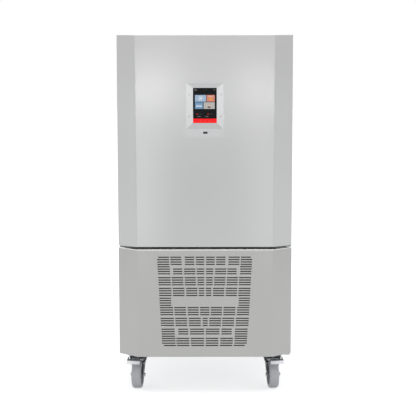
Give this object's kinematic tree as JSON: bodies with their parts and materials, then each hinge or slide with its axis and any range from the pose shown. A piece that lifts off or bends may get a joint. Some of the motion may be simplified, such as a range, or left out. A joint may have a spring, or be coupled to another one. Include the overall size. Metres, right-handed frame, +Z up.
{
  "type": "blast chiller",
  "caption": "Upright stainless blast chiller on swivel casters, with one full-height angled door, a display and a slotted lower panel.",
  "frame": {"origin": "middle of the footprint at floor level, under the centre of the cabinet", "axes": "+Z up, +X to the right seen from the front, -Y out of the front door"},
  "size_m": [0.8, 0.85, 1.646],
  "materials": {
    "stainless": "satin brushed stainless sheet",
    "door_steel": "fine satin stainless sheet, grain running down the door",
    "panel_steel": "fine satin stainless sheet",
    "bezel": "pressed satin steel frame",
    "galvanised": "galvanised sheet",
    "zinc": "zinc-plated steel",
    "foam": "rigid insulating foam",
    "gasket": "soft grey magnetic gasket",
    "pull": "anodised profile",
    "black_plastic": "moulded black plastic",
    "black_enamel": "black enamel on steel",
    "rubber": "matt black rubber",
    "screen": "glossy black touch glass, screen lit",
    "coil": "aluminium fins",
    "copper": "bare copper tube",
    "wheel": "grey moulded tread on a grey core"
  },
  "bodies": {
    "root": {"side_panel_left": "stainless", "side_panel_right": "stainless", "top_panel": "stainless", "back_panel": "stainless", "rear_grille": "stainless", "front_frame": "stainless", "inner_liner": "stainless", "rack_posts": "stainless", "tray_runners": "stainless", "evaporator_panel": "stainless", "fan_guards": "stainless", "base_chassis": "galvanised", "hinge_brackets": "zinc", "hinge_screws": "zinc", "caster_plates": "zinc", "caster_bolts": "zinc", "insulation": "foam", "fan_shroud": "black_plastic", "power_box": "black_plastic", "power_inlet": "black_plastic", "drain_tube": "black_plastic", "compressor": "black_enamel", "receiver": "black_enamel", "fan_motors": "black_enamel", "compressor_feet": "rubber", "wall_spacers": "rubber", "evaporator_coil": "coil", "condenser_coil": "coil", "copper_lines": "copper", "filter_drier": "copper"},
    "door": {"door_skin": "door_steel", "door_foam": "foam", "door_liner": "stainless", "door_gasket": "gasket", "door_bushes": "black_plastic", "door_pull": "pull", "display_bezel": "bezel", "touch_glass": "screen", "controller_housing": "black_plastic", "bezel_screws": "zinc", "usb_port": "zinc"},
    "front_panel": {"lower_panel": "panel_steel", "air_filter": "black_plastic"},
    "evaporator_rotor_upper": {"evaporator_fan_upper": "black_plastic"},
    "evaporator_rotor_lower": {"evaporator_fan_lower": "black_plastic"},
    "condenser_rotor": {"condenser_fan": "black_plastic"},
    "caster_front_left": {"fork_front_left": "zinc", "axle_front_left": "zinc"},
    "wheel_front_left": {"wheel_front_left": "wheel"},
    "pedal_front_left": {"brake_front_left": "zinc"},
    "caster_front_right": {"fork_front_right": "zinc", "axle_front_right": "zinc"},
    "wheel_front_right": {"wheel_front_right": "wheel"},
    "pedal_front_right": {"brake_front_right": "zinc"},
    "caster_rear_left": {"fork_rear_left": "zinc", "axle_rear_left": "zinc"},
    "wheel_rear_left": {"wheel_rear_left": "wheel"},
    "caster_rear_right": {"fork_rear_right": "zinc", "axle_rear_right": "zinc"},
    "wheel_rear_right": {"wheel_rear_right": "wheel"}
  },
  "joints": [
    {"name": "door_hinge", "type": "hinge", "parent": "root", "child": "door", "pos_m": [0.388, -0.358, 1.16], "axis": [0, 0, 1], "range_deg": [0, 110]},
    {"name": "front_panel_hinge", "type": "hinge", "parent": "root", "child": "front_panel", "pos_m": [0.394, -0.343, 0.42], "axis": [0, 0, 1], "range_deg": [0, 95]},
    {"name": "evaporator_fan_upper_spin", "type": "hinge", "parent": "root", "child": "evaporator_rotor_upper", "pos_m": [0, 0.172, 1.36], "axis": [0, 1, 0], "continuous": true},
    {"name": "evaporator_fan_lower_spin", "type": "hinge", "parent": "root", "child": "evaporator_rotor_lower", "pos_m": [0, 0.172, 0.96], "axis": [0, 1, 0], "continuous": true},
    {"name": "condenser_fan_spin", "type": "hinge", "parent": "root", "child": "condenser_rotor", "pos_m": [0, -0.212, 0.415], "axis": [0, 1, 0], "continuous": true},
    {"name": "swivel_front_left", "type": "hinge", "parent": "root", "child": "caster_front_left", "pos_m": [-0.313, -0.284, 0.145], "axis": [0, 0, 1], "continuous": true},
    {"name": "roll_front_left", "type": "hinge", "parent": "caster_front_left", "child": "wheel_front_left", "pos_m": [-0.31724, -0.32176, 0.0625], "axis": [0.9938, -0.1115, 0], "continuous": true},
    {"name": "brake_front_left_press", "type": "hinge", "parent": "caster_front_left", "child": "pedal_front_left", "pos_m": [-0.31568, -0.30785, 0.133], "axis": [0.9938, -0.1115, 0], "range_deg": [0, 10]},
    {"name": "swivel_front_right", "type": "hinge", "parent": "root", "child": "caster_front_right", "pos_m": [0.313, -0.284, 0.145], "axis": [0, 0, 1], "continuous": true},
    {"name": "roll_front_right", "type": "hinge", "parent": "caster_front_right", "child": "wheel_front_right", "pos_m": [0.31724, -0.32176, 0.0625], "axis": [0.9938, 0.1115, 0], "continuous": true},
    {"name": "brake_front_right_press", "type": "hinge", "parent": "caster_front_right", "child": "pedal_front_right", "pos_m": [0.31568, -0.30785, 0.133], "axis": [0.9938, 0.1115, 0], "range_deg": [0, 10]},
    {"name": "swivel_rear_left", "type": "hinge", "parent": "root", "child": "caster_rear_left", "pos_m": [-0.313, 0.33, 0.145], "axis": [0, 0, 1], "continuous": true},
    {"name": "roll_rear_left", "type": "hinge", "parent": "caster_rear_left", "child": "wheel_rear_left", "pos_m": [-0.31565, 0.29209, 0.0625], "axis": [0.9976, -0.0698, 0], "continuous": true},
    {"name": "swivel_rear_right", "type": "hinge", "parent": "root", "child": "caster_rear_right", "pos_m": [0.313, 0.33, 0.145], "axis": [0, 0, 1], "continuous": true},
    {"name": "roll_rear_right", "type": "hinge", "parent": "caster_rear_right", "child": "wheel_rear_right", "pos_m": [0.31631, 0.29214, 0.0625], "axis": [0.9962, 0.0872, 0], "continuous": true}
  ]
}
